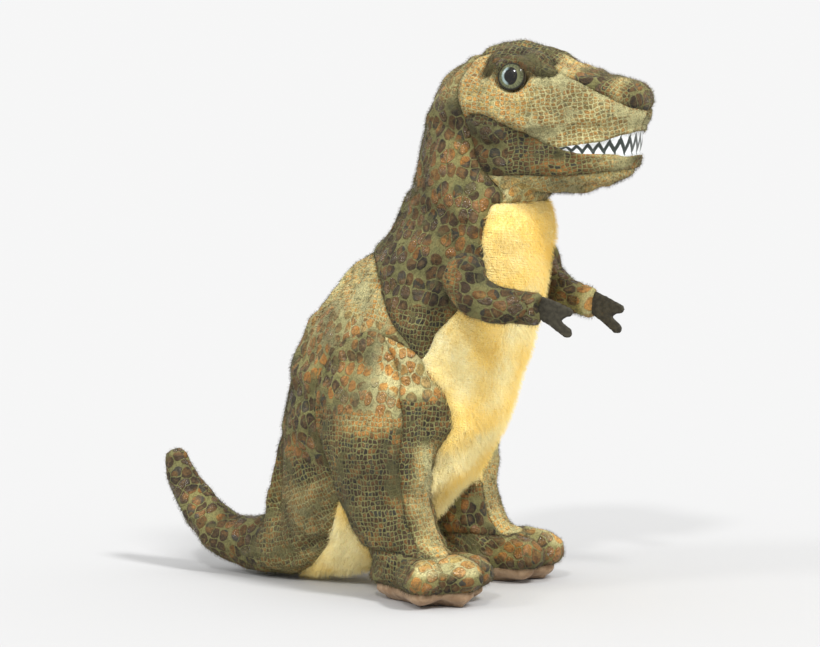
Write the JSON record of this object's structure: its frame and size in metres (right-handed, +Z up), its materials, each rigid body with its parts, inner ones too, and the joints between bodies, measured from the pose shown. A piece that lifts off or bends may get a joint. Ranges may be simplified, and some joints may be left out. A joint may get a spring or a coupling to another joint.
{
  "type": "stuffed dinosaur toy",
  "caption": "Upright stuffed tyrannosaur sewn from scale-printed plush panels, with a pale belly, domed plastic eyes, felt claws, soft arms and a curled tail.",
  "frame": {"origin": "on the ground, under the middle of the toy's length and width", "axes": "+X the way the toy faces, +Y its left side, +Z up"},
  "size_m": [0.2967, 0.1612, 0.3],
  "materials": {
    "scale_plush": "short plush with a printed reptile scale pattern",
    "dark_scale_plush": "short plush with a dark reptile scale print and foil glints",
    "light_scale_plush": "short plush with a pale sage scale print",
    "yellow_plush": "short fluffy pile on a knitted back",
    "suede": "brown suede cloth",
    "felt": "charcoal felt",
    "printed_satin": "white satin with a printed dark zigzag",
    "fibrefill": "polyester fibrefill",
    "bean_lining": "cloth bag of plastic beans",
    "eye_lens": "clear polished dome over paint",
    "eye_paint": "painted olive iris",
    "washer_plastic": "moulded lock washer"
  },
  "bodies": {
    "torso": {"belly_panel": "yellow_plush", "rump_panel": "yellow_plush", "torso_stuffing": "fibrefill", "foot_top_right": "light_scale_plush", "foot_top_left": "light_scale_plush", "leg_outer_panel_right": "scale_plush", "leg_outer_panel_left": "scale_plush", "leg_front_strip_right": "light_scale_plush", "leg_front_strip_left": "light_scale_plush", "leg_inner_panel_right": "light_scale_plush", "leg_inner_panel_left": "light_scale_plush", "chest_panel_right": "dark_scale_plush", "chest_panel_left": "dark_scale_plush", "back_panel_right": "scale_plush", "back_panel_left": "scale_plush", "leg_stuffing_right": "fibrefill", "leg_stuffing_left": "fibrefill", "foot_bean_bag_right": "bean_lining", "foot_bean_bag_left": "bean_lining", "foot_sole_right": "suede", "foot_sole_left": "suede"},
    "head": {"head_stuffing": "fibrefill", "crown_panel": "light_scale_plush", "chin_panel": "scale_plush", "teeth_strip": "printed_satin", "neck_panel_right": "dark_scale_plush", "neck_panel_left": "dark_scale_plush", "brow_patch_right": "dark_scale_plush", "brow_patch_left": "dark_scale_plush", "cheek_panel_right": "dark_scale_plush", "cheek_panel_left": "dark_scale_plush", "face_panel_right": "light_scale_plush", "face_panel_left": "light_scale_plush", "eye_lens_right": "eye_lens", "eye_lens_left": "eye_lens", "eye_iris_disc_right": "eye_paint", "eye_iris_disc_left": "eye_paint", "eye_washer_right": "washer_plastic", "eye_washer_left": "washer_plastic"},
    "tail": {"tail_stuffing": "fibrefill", "tail_panel_right": "scale_plush", "tail_panel_left": "scale_plush"},
    "right_arm": {"arm_outer_panel_right": "dark_scale_plush", "arm_inner_panel_right": "scale_plush", "arm_stuffing_right": "fibrefill", "hand_claws_right": "felt"},
    "left_arm": {"arm_outer_panel_left": "dark_scale_plush", "arm_inner_panel_left": "scale_plush", "arm_stuffing_left": "fibrefill", "hand_claws_left": "felt"}
  },
  "joints": [
    {"name": "head_nod", "type": "hinge", "parent": "torso", "child": "head", "pos_m": [0.0474, 0, 0.214], "axis": [0, 1, 0], "range_deg": [-6, 6], "stiffness_Nm_per_rad": 2},
    {"name": "tail_bend", "type": "hinge", "parent": "torso", "child": "tail", "pos_m": [-0.0766, 0, 0.019], "axis": [0, 1, 0], "range_deg": [-9, 9], "stiffness_Nm_per_rad": 0.4},
    {"name": "right_arm_swing", "type": "hinge", "parent": "torso", "child": "right_arm", "pos_m": [0.0634, -0.0484, 0.178], "axis": [0, 1, 0], "range_deg": [-40, 20], "stiffness_Nm_per_rad": 0.05},
    {"name": "left_arm_swing", "type": "hinge", "parent": "torso", "child": "left_arm", "pos_m": [0.0634, 0.0484, 0.178], "axis": [0, 1, 0], "range_deg": [-40, 20], "stiffness_Nm_per_rad": 0.05}
  ]
}
